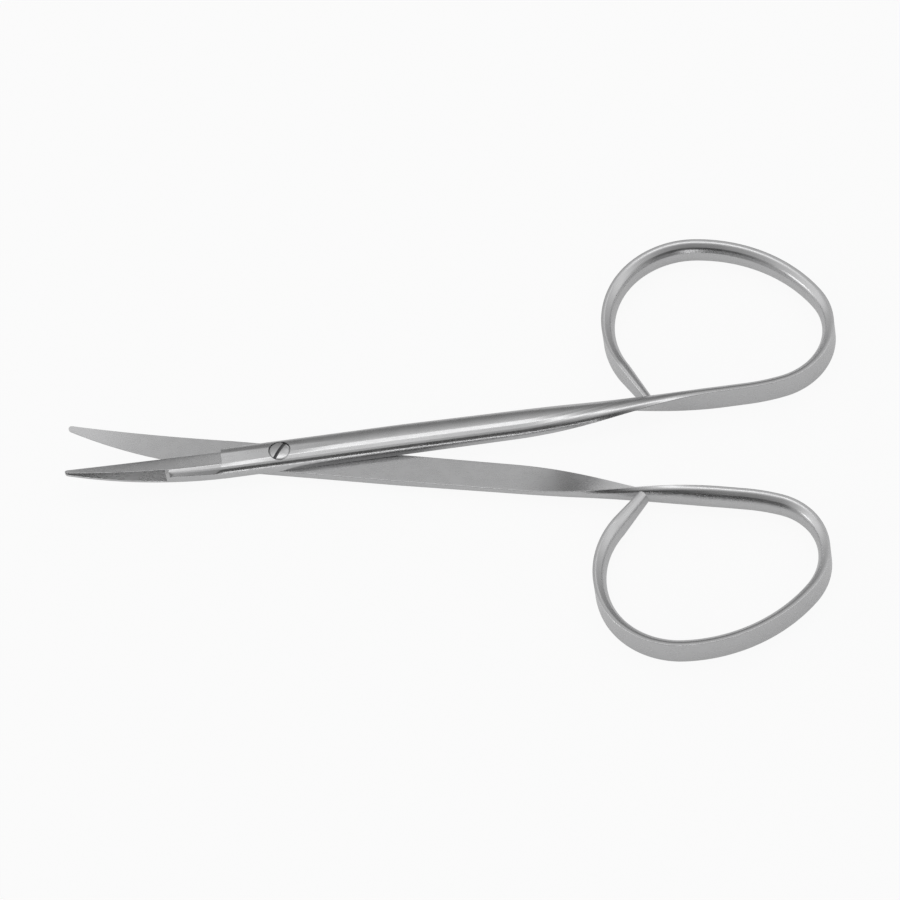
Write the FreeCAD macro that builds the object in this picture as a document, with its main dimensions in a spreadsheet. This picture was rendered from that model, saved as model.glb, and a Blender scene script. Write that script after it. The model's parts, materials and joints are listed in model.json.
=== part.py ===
# Curved crown scissors with ribbon finger rings, millimetres and degrees.
# Two forged strips cross at a slotted pivot screw. Each strip is one piece: blade, lock, shank,
# a neck that turns the flat of the strip through a quarter, and a ribbon bent round to a finger
# ring whose end is brazed down on the neck.
#
# A half is drawn closed, in a frame of its own: the pivot is at the origin, the blade points to -X,
# the shank runs to +X, the other half lies below the plane Z = 0, and the cutting edge and the
# finger ring are on the +Y side. The front half stands like that, and the back half is turned over.
import FreeCAD, Part
import math
import os
import re

import Sketcher
from FreeCAD import Placement, Rotation, Vector

# Driving dimensions
dimensions = {
    "openAngle": 14.66,         # between the halves as the scissors lie
    "faceGap": 0.1,             # between the closed halves, away from the lock
    "shankWidth": 4.8,
    "shankWall": 1.4,           # straight side of the D section
    "shankCrown": 0.92,         # rise of its domed outside
    "bandWidth": 4.35,          # of the ribbon that makes the ring
    "bandWall": 0.6,
    "bandCrown": 1.3,
    "lockReach": 8.8,           # pivot to the blade's shoulder
    "lockHeel": 6.0,            # pivot to the end of the touching faces
    "reliefEnd": 18.0,          # pivot to where the shank's face has fallen back by half a gap
    "neckStart": 35.3,          # the strip begins to turn
    "neckEnd": 67.3,            # and has turned a quarter
    "neckTurn": 90.0,
    "ringLead": 3.4,            # straight band between the neck and the first bend of the ring
    "entryBend": 30.9,          # radii and turns of the ring's bends, in order
    "entryTurn": 10.6,
    "endBend": 10.7,
    "endTurn": 108.3,
    "flankBend": 24.7,
    "flankTurn": 52.6,
    "heelBend": 13.45,
    "heelTurn": 70.6,
    "tailLength": 7.3,          # last straight stretch of the ribbon
    "tailSeat": 55.5,           # pivot to where it meets the neck
    "tailHeight": 0.8,          # how high in the neck it ends
    "tailWidth": 2.9,           # the end is ground narrower
    "tailWall": 0.5,
    "tailCrown": 0.8,
    "bladeReach": 32.3,         # pivot to the tip
    "riseRadius": 82.0,         # curve of the blades, seen from the side
    "tipWidth": 1.05,
    "tipOffset": -0.05,
    "edgeBow": 0.58,            # height of the cutting edge's arc over its chord
    "spineBow": 0.33,
    "edgeLand": 0.16,           # blade's thickness at the cutting edge
    "spineLand": 0.3,           # and at its back
    "ridgeHeel": 2.1,           # height of the ridge over the inner face
    "ridgeTip": 0.6,
    "ridgeHeelOffset": 1.0,     # ridge behind the strip's middle line
    "ridgeTipOffset": 0.3,
    "tipThickness": 1.2,        # of the forged blank
    "backFacetStart": 16.6,     # pivot to where the back of the blade is ground flat
    "backFacetRamp": 0.7,
    "lockFacetDepth": 0.25,     # flat on the outside of the lock
    "lockFacetEnd": 10.0,
    "headDiameter": 3.2,
    "headHeight": 1.0,
    "headTop": 2.2,             # over the plane between the halves
    "headChamfer": 0.12,
    "headClearance": 0.06,      # radial, in the counterbore
    "slotWidth": 0.5,
    "slotDepth": 0.45,
    "slotAngle": 62.0,          # of the driver slot, from the length of the scissors
    "boltDiameter": 2.2,
    "boltClearance": 0.04,      # radial, in the front half
    "boltEnd": 2.2,             # under the plane between the halves
    "boltChamfer": 0.12,
}
neckSections = 7                # sections that carry the quarter turn
bladeSections = 5
sinkDepth = 0.3                 # blank below the ground inner face
sawReach = 4.0                  # how far cutting shapes run past the metal
grindSweep = 60.0               # turn about the pivot over which the inner face is ground


doc = FreeCAD.newDocument("CrownScissors")
sheet = doc.addObject("Spreadsheet::Sheet", "Dimensions")
for row, (name, size) in enumerate(dimensions.items(), start=1):
    sheet.set(f"A{row}", name)
    sheet.set(f"B{row}", str(size))
    sheet.setAlias(f"B{row}", name)
doc.recompute()


def bound(text):
    """Expression in which each dimension's name refers to its cell."""
    return re.sub(r"[A-Za-z]+", lambda word: f"Dimensions.{word[0]}" if word[0] in dimensions else word[0], text)


def value(text):
    return float(sheet.evalExpression(bound(text)))


def originPlane(body, role):
    return next(plane for plane in body.Origin.OriginFeatures if plane.Role == role)


def newSketch(body, name, role, base=("0", "0", "0"), axis=Vector(0, 0, 1), angle="0"):
    sketch = body.newObject("Sketcher::SketchObject", name)
    sketch.AttachmentSupport = [(originPlane(body, role), "")]
    sketch.MapMode = "FlatFace"
    sketch.AttachmentOffset = Placement(Vector(*[value(part) for part in base]), Rotation(axis, value(angle)))
    for letter, part in zip("xyz", base):
        if part != "0":
            sketch.setExpression(f".AttachmentOffset.Base.{letter}", bound(part))
    if angle != "0":
        sketch.setExpression(".AttachmentOffset.Rotation.Angle", bound(angle))
    return sketch


def constrain(sketch, name, text, *constraint):
    """Adds a dimension to a sketch and binds it to the sheet."""
    index = sketch.addConstraint(Sketcher.Constraint(*constraint, value(text)))
    sketch.renameConstraint(index, name)
    sketch.setExpression(f"Constraints.{name}", bound(text))


def place(sketch, name, geometry, point, xText, yText):
    """Holds a point of a sketch at a place measured from the sketch's origin."""
    constrain(sketch, name + "X", xText, "DistanceX", -1, 1, geometry, point)
    constrain(sketch, name + "Y", yText, "DistanceY", -1, 1, geometry, point)


def line(x1, y1, x2, y2):
    return Part.LineSegment(Vector(x1, y1, 0), Vector(x2, y2, 0))


def polygon(sketch, corners):
    """Closed outline of straight lines, each corner held at its own place."""
    points = [(value(x), value(y)) for x, y in corners]
    for start, end in zip(points, points[1:] + points[:1]):
        sketch.addGeometry(line(*start, *end), False)
    for index, (x, y) in enumerate(corners):
        sketch.addConstraint(Sketcher.Constraint("Coincident", index - 1 if index else len(corners) - 1, 2, index, 1))
        place(sketch, f"corner{index}", index, 1, x, y)


def sectionD(sketch, width, wall, crown):
    """D section: a flat base centred on the origin, two walls and a domed outside."""
    half, side, rise = value(width) / 2, value(wall), value(crown)
    radius = (half ** 2 + rise ** 2) / (2 * rise)
    sweep = math.asin(half / radius) if rise < half else math.pi - math.asin(half / radius)
    circle = Part.Circle(Vector(0, side + rise - radius, 0), Vector(0, 0, 1), radius)
    sketch.addGeometry(line(-half, 0, half, 0), False)
    sketch.addGeometry(line(half, 0, half, side), False)
    sketch.addGeometry(Part.ArcOfCircle(circle, math.pi / 2 - sweep, math.pi / 2 + sweep), False)
    sketch.addGeometry(line(-half, side, -half, 0), False)
    base, right, dome, left = range(4)
    for first, second in ((base, right), (dome, left), (left, base)):
        sketch.addConstraint(Sketcher.Constraint("Coincident", first, 2, second, 1))
    sketch.addConstraint(Sketcher.Constraint("Coincident", right, 2, dome, 1))
    sketch.addConstraint(Sketcher.Constraint("Symmetric", base, 1, base, 2, -1, 1))
    sketch.addConstraint(Sketcher.Constraint("Horizontal", base))
    sketch.addConstraint(Sketcher.Constraint("Vertical", right))
    sketch.addConstraint(Sketcher.Constraint("Vertical", left))
    sketch.addConstraint(Sketcher.Constraint("Equal", right, left))
    constrain(sketch, "width", width, "DistanceX", base, 1, base, 2)
    constrain(sketch, "wall", wall, "DistanceY", right, 1, right, 2)
    constrain(sketch, "dome", f"(({width})^2 / 4 + ({crown})^2) / (2 * ({crown}))", "Radius", dome)


def loft(body, name, kind, sections, ruled):
    feature = body.newObject(kind, name)
    feature.Profile = sections[0]
    feature.Sections = [(section, [""]) for section in sections[1:]]
    feature.Ruled = ruled
    return feature


# Strip

def taper(start, end, first, last, station):
    """Straight change from one size to another between two stations."""
    return f"{first} + ({last} - {first}) * min(1, max(0, ({station} - {start}) / ({end} - {start})))"


def stripSection(body, name, station, lift, share="0"):
    """Section of the straight strip. The share of the quarter turn done so far is a smooth step."""
    turn = f"(neckTurn * (3 * ({share})^2 - 2 * ({share})^3))"
    base = (f"{lift} * sin({turn})", f"{lift} * cos({turn})", station)
    sketch = newSketch(body, name, "YZ_Plane", base, angle=f"-{turn}")
    sizes = [taper("reliefEnd", "neckEnd", "shank" + size, "band" + size, station) for size in ("Width", "Wall", "Crown")]
    sectionD(sketch, *sizes)
    return sketch


def makeShank(body):
    stations = (("-lockReach", "0"), ("lockHeel", "0"), ("reliefEnd", "faceGap / 2"), ("neckStart", "faceGap / 2"))
    sections = [stripSection(body, f"{body.Name}Shank{index}", *spot) for index, spot in enumerate(stations)]
    loft(body, body.Name + "Shank", "PartDesign::AdditiveLoft", sections, True)


def makeNeck(body):
    sections = []
    for index in range(neckSections):
        share = f"{index} / {neckSections - 1}"
        station = f"neckStart + (neckEnd - neckStart) * {share}"
        sections.append(stripSection(body, f"{body.Name}Neck{index}", f"({station})", "faceGap / 2", share))
    loft(body, body.Name + "Neck", "PartDesign::AdditiveLoft", sections, False)
    return sections[-1]


# Finger ring

def ringPath(body):
    """Line of the ring's flat outside, from the end of the neck round to the start of its tail."""
    sketch = newSketch(body, body.Name + "RingPath", "XY_Plane", ("0", "faceGap / 2", "0"))
    x, y, heading = value("neckEnd + ringLead"), 0.0, 0.0
    sketch.addGeometry(line(value("neckEnd"), 0, x, 0), False)
    bends = ("entry", "end", "flank", "heel")
    for bend in bends:
        radius, turn = value(bend + "Bend"), math.radians(value(bend + "Turn"))
        centre = Vector(x - radius * math.sin(heading), y + radius * math.cos(heading), 0)
        start = heading - math.pi / 2
        sketch.addGeometry(Part.ArcOfCircle(Part.Circle(centre, Vector(0, 0, 1), radius), start, start + turn), False)
        heading += turn
        x, y = centre.x + radius * math.sin(heading), centre.y - radius * math.cos(heading)
    # the last bend takes the radius with which the straight tail ends in the neck
    tail = value("tailLength")
    toSeat = Vector(value("tailSeat") - x, value("tailHeight") - y, 0)
    inward = Vector(-math.sin(heading), math.cos(heading), 0)
    radius = (toSeat.Length ** 2 - tail ** 2) / (2 * toSeat.dot(inward))
    centre = Vector(x, y, 0) + inward * radius
    fromCentre = Vector(x, y, 0) + toSeat - centre
    start = heading - math.pi / 2
    heading = math.atan2(fromCentre.y, fromCentre.x) + math.atan2(radius, tail)
    turn = (heading - math.pi / 2 - start) % (2 * math.pi)
    sketch.addGeometry(Part.ArcOfCircle(Part.Circle(centre, Vector(0, 0, 1), radius), start, start + turn), False)
    x, y = centre.x + radius * math.sin(heading), centre.y - radius * math.cos(heading)
    tailIndex = sketch.addGeometry(line(x, y, value("tailSeat"), value("tailHeight")), True)
    sketch.addConstraint(Sketcher.Constraint("Horizontal", 0))
    sketch.addConstraint(Sketcher.Constraint("PointOnObject", 0, 1, -1))
    constrain(sketch, "start", "neckEnd", "DistanceX", -1, 1, 0, 1)
    constrain(sketch, "lead", "ringLead", "DistanceX", 0, 1, 0, 2)
    for index in range(tailIndex):
        sketch.addConstraint(Sketcher.Constraint("Tangent", index, 2, index + 1, 1))
    for index, bend in enumerate(bends, start=1):
        constrain(sketch, bend + "Radius", bend + "Bend", "Radius", index)
        size = sketch.addConstraint(Sketcher.Constraint("Angle", index, math.radians(value(bend + "Turn"))))
        sketch.renameConstraint(size, bend + "Sweep")
        sketch.setExpression(f"Constraints.{bend}Sweep", bound(f"{bend}Turn * 1 deg"))
    constrain(sketch, "tail", "tailLength", "Distance", tailIndex)
    place(sketch, "seat", tailIndex, 2, "tailSeat", "tailHeight")
    return sketch, Vector(x, y, 0), math.degrees(heading)


def makeRing(body, profile):
    path, tailStart, heading = ringPath(body)
    band = body.newObject("PartDesign::AdditivePipe", body.Name + "Ring")
    band.Profile = profile
    band.Spine = path
    return tailStart, heading


def makeTail(body, tailStart, heading):
    """Last straight stretch, narrowed to the end that is brazed in the neck."""
    direction = Vector(math.cos(math.radians(heading)), math.sin(math.radians(heading)), 0)
    inward = Vector(-direction.y, direction.x, 0)
    ends = (("TailRoot", tailStart, "band"), ("TailEnd", tailStart + direction * value("tailLength"), "tail"))
    sections = []
    for name, point, size in ends:
        sketch = newSketch(body, body.Name + name, "XZ_Plane")
        spot = point + Vector(0, value("faceGap") / 2, 0)
        turned = Rotation(Vector(0, 1, 0), heading + 90) * Rotation(Vector(0, 0, 1), -90)
        sketch.AttachmentOffset = Placement(Vector(spot.x, 0, -spot.y), turned)
        sectionD(sketch, size + "Width", size + "Wall", size + "Crown")
        sections.append(sketch)
    loft(body, body.Name + "Tail", "PartDesign::AdditiveLoft", sections, True)


# Blade

def rise(side, station):
    """Height of the blade's inner face over the shoulder, for a distance from the shoulder."""
    return f"({side} * (riseRadius - sqrt(riseRadius^2 - ({station})^2)))"


def makeBlank(body, side):
    """Forged blank of the blade, which follows the rise and thins to the tip."""
    sections = []
    for index in range(bladeSections):
        share = f"({index} / {bladeSections - 1})"
        along = f"((bladeReach - lockReach + tipWidth) * {share})"
        lift = f"{rise(side, along)} - {sinkDepth if index else 0}"
        sketch = newSketch(body, f"{body.Name}Blank{index}", "YZ_Plane", ("0", lift, f"-lockReach - {along}"))
        wall = f"shankWall + {sinkDepth if index else 0} + (tipThickness - shankWall - shankCrown) * {share}^2"
        sectionD(sketch, "shankWidth", wall, "shankCrown")
        sections.append(sketch)
    loft(body, body.Name + "Blank", "PartDesign::AdditiveLoft", sections, False)


def grindInnerFace(body, side):
    """The blades slide on faces turned about the pivot, so these stay together at any opening."""
    sketch = newSketch(body, body.Name + "InnerFace", "XZ_Plane")
    near, far = "-lockReach", f"-bladeReach - {sawReach}"
    reach = f"(bladeReach + {sawReach} - lockReach)"
    top = f"faceGap / 2 + {rise(side, reach)}"
    floor = f"min(0, {rise(side, reach)}) - {sawReach}"
    radius = value("riseRadius")
    sweep = math.asin(value(reach) / radius)
    centre = Vector(value(near), value("faceGap / 2") + side * radius, 0)
    start = -math.pi / 2 - sweep if side > 0 else math.pi / 2
    face = Part.ArcOfCircle(Part.Circle(centre, Vector(0, 0, 1), radius), start, start + sweep)
    sketch.addGeometry(face, False)
    nearEnd, farEnd = (2, 1) if side > 0 else (1, 2)
    corners = [(value(far), value(top)), (value(far), value(floor)), (value(near), value(floor)),
               (value(near), value("faceGap / 2"))]
    for first, second in zip(corners, corners[1:]):
        sketch.addGeometry(line(*first, *second), False)
    sketch.addConstraint(Sketcher.Constraint("Coincident", 0, farEnd, 1, 1))
    sketch.addConstraint(Sketcher.Constraint("Coincident", 1, 2, 2, 1))
    sketch.addConstraint(Sketcher.Constraint("Coincident", 2, 2, 3, 1))
    sketch.addConstraint(Sketcher.Constraint("Coincident", 3, 2, 0, nearEnd))
    sketch.addConstraint(Sketcher.Constraint("Vertical", 1))
    sketch.addConstraint(Sketcher.Constraint("Horizontal", 2))
    place(sketch, "near", 3, 2, near, "faceGap / 2")
    place(sketch, "far", 1, 1, far, top)
    place(sketch, "floor", 3, 1, near, floor)
    constrain(sketch, "curve", "riseRadius", "Radius", 0)
    groove = body.newObject("PartDesign::Groove", body.Name + "InnerFaceGrind")
    groove.Profile = sketch
    groove.ReferenceAxis = (sketch, ["V_Axis"])
    groove.Angle = grindSweep
    groove.Midplane = True


def edgeLine(share):
    """Distance of the cutting edge from the middle line, for a share of the blade's length."""
    return (f"(shankWidth / 2 + (tipOffset + tipWidth / 2 - shankWidth / 2) * {share}"
            f" + 4 * edgeBow * {share} * (1 - {share}))")


def spineLine(share):
    return (f"(-shankWidth / 2 + (tipOffset - tipWidth / 2 + shankWidth / 2) * {share}"
            f" - 4 * spineBow * {share} * (1 - {share}))")


def bowed(chord, bow):
    """Radius of an arc from its chord and its height."""
    return f"((({chord})^2 / 4 + {bow}^2) / (2 * {bow}))"


def arcOver(start, end, bow):
    """Arc from one point to another that stands out to the left of its chord."""
    chord = end - start
    middle = (start + end) * 0.5
    left = Vector(-chord.y, chord.x, 0).normalize()
    return Part.Arc(start, middle + left * bow, end)


def cutPlanform(body):
    """Outline of the blade from above: bowed cutting edge, bowed back and a round tip."""
    sketch = newSketch(body, body.Name + "Planform", "XY_Plane")
    near = -value("lockReach")
    tipX = -value("bladeReach - tipWidth / 2")
    half = value("shankWidth / 2")
    edgeY, spineY = value("tipOffset + tipWidth / 2"), value("tipOffset - tipWidth / 2")
    farX = tipX - sawReach
    outside = half + sawReach
    tipCentre = Vector(tipX, value("tipOffset"), 0)
    tipCircle = Part.Circle(tipCentre, Vector(0, 0, 1), value("tipWidth / 2"))
    sketch.addGeometry(arcOver(Vector(tipX, edgeY, 0), Vector(near, half, 0), value("edgeBow")), False)
    sketch.addGeometry(line(near, half, near, outside), False)
    sketch.addGeometry(line(near, outside, farX, outside), False)
    sketch.addGeometry(line(farX, outside, farX, -outside), False)
    sketch.addGeometry(line(farX, -outside, near, -outside), False)
    sketch.addGeometry(line(near, -outside, near, -half), False)
    sketch.addGeometry(arcOver(Vector(near, -half, 0), Vector(tipX, spineY, 0), value("spineBow")), False)
    sketch.addGeometry(Part.ArcOfCircle(tipCircle, math.pi / 2, 3 * math.pi / 2), False)
    edge, spine, tip = 0, 6, 7
    # arcs run anticlockwise, so each names which of its ends meets its neighbours
    edgeNear, edgeTip = arcEnds(sketch, edge, near)
    spineNear, spineTip = arcEnds(sketch, spine, near)
    joints = ((edge, edgeNear, 1, 1), (1, 2, 2, 1), (2, 2, 3, 1), (3, 2, 4, 1), (4, 2, 5, 1),
              (5, 2, spine, spineNear), (spine, spineTip, tip, 2), (tip, 1, edge, edgeTip))
    for joint in joints:
        sketch.addConstraint(Sketcher.Constraint("Coincident", *joint))
    for index in (1, 3, 5):
        sketch.addConstraint(Sketcher.Constraint("Vertical", index))
    for index in (2, 4):
        sketch.addConstraint(Sketcher.Constraint("Horizontal", index))
    sketch.addConstraint(Sketcher.Constraint("Symmetric", tip, 1, tip, 2, tip, 3))
    tipText = "-bladeReach + tipWidth / 2"
    place(sketch, "edgeHeel", 1, 1, "-lockReach", "shankWidth / 2")
    place(sketch, "spineHeel", 5, 2, "-lockReach", "-shankWidth / 2")
    place(sketch, "edgeTip", tip, 1, tipText, "tipOffset + tipWidth / 2")
    place(sketch, "spineTip", tip, 2, tipText, "tipOffset - tipWidth / 2")
    place(sketch, "outerCorner", 3, 1, f"{tipText} - {sawReach}", f"shankWidth / 2 + {sawReach}")
    constrain(sketch, "outside", f"-shankWidth / 2 - {sawReach}", "DistanceY", -1, 1, 3, 2)
    length = "bladeReach - tipWidth / 2 - lockReach"
    edgeChord = f"sqrt(({length})^2 + (shankWidth / 2 - tipOffset - tipWidth / 2)^2)"
    spineChord = f"sqrt(({length})^2 + (shankWidth / 2 + tipOffset - tipWidth / 2)^2)"
    constrain(sketch, "edgeRadius", bowed(edgeChord, "edgeBow"), "Radius", edge)
    constrain(sketch, "spineRadius", bowed(spineChord, "spineBow"), "Radius", spine)
    throughCut(body, "PlanformCut", sketch)


def arcEnds(sketch, index, near):
    """Which ends of an arc lie at the shoulder and at the tip."""
    start = sketch.getPoint(index, 1)
    return (1, 2) if abs(start.x - near) < abs(sketch.getPoint(index, 2).x - near) else (2, 1)


def throughCut(body, name, sketch):
    pocket = body.newObject("PartDesign::Pocket", body.Name + name)
    pocket.Profile = sketch
    pocket.SideType = "Symmetric"
    pocket.Type = "ThroughAll"
    return pocket


def ridge(share):
    """Place of the ridge: sideways from the middle line, and over the inner face."""
    offset = f"(-ridgeHeelOffset + (ridgeHeelOffset - ridgeTipOffset) * {share}^2)"
    height = f"(ridgeHeel - (ridgeHeel - ridgeTip) * {share}^2)"
    return offset, height


def facetSection(body, name, side, along, rimLine, land, lifted="0"):
    """Triangle that takes off all metal above the line from one rim of the blade to the ridge."""
    share = f"({along} / (bladeReach - lockReach))"
    level = f"(faceGap / 2 + {rise(side, along)} + {lifted})"
    ridgeY, ridgeZ = ridge(share)
    rimY = rimLine(share)
    outer = (f"2 * {rimY} - {ridgeY}", f"{level} + 2 * {land} - {ridgeZ}")
    inner = (f"2 * {ridgeY} - {rimY}", f"{level} + 2 * {ridgeZ} - {land}")
    above = (outer[0], f"{inner[1]} + {sawReach}")
    sketch = newSketch(body, name, "YZ_Plane", ("0", "0", f"-lockReach - {along}"))
    polygon(sketch, (outer, above, inner))
    return sketch


def grindBevel(body, side):
    """Long facet from the cutting edge up to the ridge, which starts at a sharp shoulder."""
    sections = []
    for index in range(bladeSections):
        along = f"((bladeReach - lockReach + tipWidth) * {index} / {bladeSections - 1})"
        sections.append(facetSection(body, f"{body.Name}Bevel{index}", side, along, edgeLine, "edgeLand"))
    loft(body, body.Name + "Bevel", "PartDesign::SubtractiveLoft", sections, False)


def grindBack(body, side):
    """Second facet, from the ridge down to the back of the blade's outer half."""
    start = "(backFacetStart - lockReach)"
    sections = []
    for index in range(bladeSections):
        along = f"({start} + (bladeReach - backFacetStart + tipWidth) * {index} / {bladeSections - 1})"
        sections.append(facetSection(body, f"{body.Name}Back{index}", side, along, spineLine, "spineLand"))
    loft(body, body.Name + "Back", "PartDesign::SubtractiveLoft", sections, False)
    rampStart = facetSection(body, body.Name + "RampStart", side, f"({start} - backFacetRamp)", spineLine,
                             "spineLand", "shankCrown")
    rampEnd = facetSection(body, body.Name + "RampEnd", side, start, spineLine, "spineLand")
    loft(body, body.Name + "Ramp", "PartDesign::SubtractiveLoft", [rampStart, rampEnd], True)


# Lock

def faceLock(body):
    """Flat on the outside of the lock, which fades out along the shank."""
    sketch = newSketch(body, body.Name + "LockFacet", "XZ_Plane")
    crest = "shankWall + shankCrown"
    polygon(sketch, (("-lockReach", f"{crest} - lockFacetDepth"), ("lockFacetEnd", crest),
                     ("lockFacetEnd", f"{crest} + {sawReach}"), ("-lockReach", f"{crest} + {sawReach}")))
    throughCut(body, "LockFacetCut", sketch)


def drill(body, name, diameter, level="0"):
    """Round hole on the pivot, from a level outwards, or right through when no level is given."""
    sketch = newSketch(body, body.Name + name, "XY_Plane", ("0", "0", level))
    sketch.addGeometry(Part.Circle(Vector(0, 0, 0), Vector(0, 0, 1), value(diameter) / 2), False)
    sketch.addConstraint(Sketcher.Constraint("Coincident", 0, 3, -1, 1))
    constrain(sketch, "bore", diameter, "Diameter", 0)
    if level == "0":
        throughCut(body, name + "Cut", sketch)
        return
    pocket = body.newObject("PartDesign::Pocket", body.Name + name + "Cut")
    pocket.Profile = sketch
    pocket.Type = "ThroughAll"
    pocket.Reversed = True


def makeHalf(label, side):
    """One half; side is 1 where the blade rises away from the other half, -1 where it dips to it."""
    body = doc.addObject("PartDesign::Body", label)
    body.Label = label
    makeShank(body)
    profile = makeNeck(body)
    tailStart, heading = makeRing(body, profile)
    makeTail(body, tailStart, heading)
    makeBlank(body, side)
    grindInnerFace(body, side)
    cutPlanform(body)
    grindBevel(body, side)
    grindBack(body, side)
    faceLock(body)
    return body


# Pivot screw

def makeScrew(label):
    """Slotted screw: its head lies in the front half and its bolt is threaded into the back half."""
    body = doc.addObject("PartDesign::Body", label)
    body.Label = label
    sketch = newSketch(body, label + "Profile", "XZ_Plane")
    polygon(sketch, (
        ("0", "-boltEnd"),
        ("boltDiameter / 2 - boltChamfer", "-boltEnd"),
        ("boltDiameter / 2", "-boltEnd + boltChamfer"),
        ("boltDiameter / 2", "headTop - headHeight"),
        ("headDiameter / 2", "headTop - headHeight"),
        ("headDiameter / 2", "headTop - headChamfer"),
        ("headDiameter / 2 - headChamfer", "headTop"),
        ("0", "headTop")))
    turned = body.newObject("PartDesign::Revolution", label + "Turned")
    turned.Profile = sketch
    turned.ReferenceAxis = (sketch, ["V_Axis"])
    turned.Angle = 360
    slot = newSketch(body, label + "Slot", "XY_Plane", ("0", "0", "headTop"), angle="slotAngle")
    reach, half = "headDiameter", "slotWidth / 2"
    polygon(slot, ((f"-{reach}", f"-{half}"), (reach, f"-{half}"), (reach, half), (f"-{reach}", half)))
    cut = body.newObject("PartDesign::Pocket", label + "SlotCut")
    cut.Profile = slot
    cut.Type = "Length"
    cut.setExpression("Length", bound("slotDepth"))
    return body


front = makeHalf("front_half", 1)
drill(front, "Bore", "boltDiameter + 2 * boltClearance")
drill(front, "HeadSeat", "headDiameter + 2 * headClearance", "headTop - headHeight")
back = makeHalf("back_half", -1)
drill(back, "Thread", "boltDiameter")
screw = makeScrew("pivot_screw")
pieces = (front, back, screw)
doc.recompute()

# Lay the scissors down: the middle of the whole stands over the origin, its lowest point at Z = 0
swing = value("openAngle / 2")
front.Placement = Placement(Vector(0, 0, 0), Rotation(Vector(0, 0, 1), swing))
back.Placement = Placement(Vector(0, 0, 0), Rotation(Vector(0, 0, 1), -swing) * Rotation(Vector(1, 0, 0), 180))
doc.recompute()
extent = FreeCAD.BoundBox()
for piece in pieces:
    extent.add(piece.Shape.optimalBoundingBox())
shift = Vector(-extent.Center.x, -extent.Center.y, -extent.ZMin)
for piece in pieces:
    piece.Placement = Placement(shift, Rotation()).multiply(piece.Placement)
doc.recompute()

for thing in doc.Objects:
    if "Invalid" in thing.State or "Error" in thing.State:
        raise RuntimeError(f"{thing.Name} did not build: {thing.State}")
os.makedirs("parts", exist_ok=True)
for piece in pieces:
    if piece.Shape.isNull() or not piece.Shape.isValid():
        raise RuntimeError(f"{piece.Label} has no valid shape")
    piece.Shape.exportStep(f"parts/{piece.Label}.step")
    box = piece.Shape.optimalBoundingBox()
    print(piece.Label, len(piece.Shape.Solids), "solid", round(piece.Shape.Volume, 2), "mm3", box)
print("pivot at", shift)
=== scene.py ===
import json
import math

import bmesh
import bpy
from mathutils import Matrix, Vector, kdtree


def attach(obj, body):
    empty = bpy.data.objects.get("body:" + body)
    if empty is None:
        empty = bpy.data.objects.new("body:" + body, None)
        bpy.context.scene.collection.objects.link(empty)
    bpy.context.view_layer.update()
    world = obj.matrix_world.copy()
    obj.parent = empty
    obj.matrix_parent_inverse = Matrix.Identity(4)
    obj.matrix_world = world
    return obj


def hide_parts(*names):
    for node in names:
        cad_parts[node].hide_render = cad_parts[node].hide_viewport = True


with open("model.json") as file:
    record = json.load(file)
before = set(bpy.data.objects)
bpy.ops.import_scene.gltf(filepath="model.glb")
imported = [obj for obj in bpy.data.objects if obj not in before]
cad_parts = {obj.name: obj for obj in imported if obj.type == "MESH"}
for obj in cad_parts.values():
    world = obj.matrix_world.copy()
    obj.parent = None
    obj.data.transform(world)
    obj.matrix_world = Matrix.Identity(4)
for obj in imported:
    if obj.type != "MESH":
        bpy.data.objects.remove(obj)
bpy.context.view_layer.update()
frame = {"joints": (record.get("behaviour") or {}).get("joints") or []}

mm = 0.001
hinge = next(joint for joint in frame["joints"] if joint["name"] == "pivot_hinge")
pivot = Vector(hinge["pos_m"])
openAngle = math.radians(-hinge["range_deg"][0])    # from closed to the way the scissors lie
print("frame loaded, pivot at", tuple(pivot))


# Nodes

# A node tree with one way to add any node
class Graph:

    def __init__(self, tree):
        self.tree = tree

    def add(self, kind, settings=None, sockets=None):
        node = self.tree.nodes.new(kind)
        for name, value in (settings or {}).items():
            if name == "stops":
                for stop, (place, shade) in zip(rampStops(node, len(value)), value):
                    stop.position = place
                    stop.color = (shade, shade, shade, 1) if isinstance(shade, float) else shade
            else:
                setattr(node, name, value)
        for name, value in (sockets or {}).items():
            self.feed(node.inputs[name], value)
        return node

    def feed(self, socket, value):
        if isinstance(value, Term):
            value = value.socket
        if isinstance(value, bpy.types.NodeSocket):
            self.tree.links.new(value, socket)
        else:
            socket.default_value = value

    def term(self, node, output=0):
        return Term(self, node.outputs[output])


def rampStops(node, count):
    stops = node.color_ramp.elements
    while len(stops) < count:
        stops.new(1)
    return stops


# A socket that can stand in an expression
class Term:

    def __init__(self, graph, socket):
        self.graph = graph
        self.socket = socket

    def math(self, operation, *others):
        values = dict(enumerate((self, *others)))
        return self.graph.term(self.graph.add("ShaderNodeMath", {"operation": operation}, values))

    def __add__(self, other):
        return self.math("ADD", other)

    def __sub__(self, other):
        return self.math("SUBTRACT", other)

    def __mul__(self, other):
        return self.math("MULTIPLY", other)

    def __truediv__(self, other):
        return self.math("DIVIDE", other)

    def __rsub__(self, other):
        return Term.reflected(self, "SUBTRACT", other)

    def __rtruediv__(self, other):
        return Term.reflected(self, "DIVIDE", other)

    def reflected(self, operation, other):
        node = self.graph.add("ShaderNodeMath", {"operation": operation}, {0: other, 1: self})
        return self.graph.term(node)

    __radd__ = __add__
    __rmul__ = __mul__

    def clamped(self):
        return self.graph.term(self.graph.add("ShaderNodeClamp", None, {"Value": self}))


# Shape of one half, in millimetres, drawn closed: pivot at the origin, blade towards -X,
# finger ring on the +Y side, the other half under Z = 0

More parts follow.
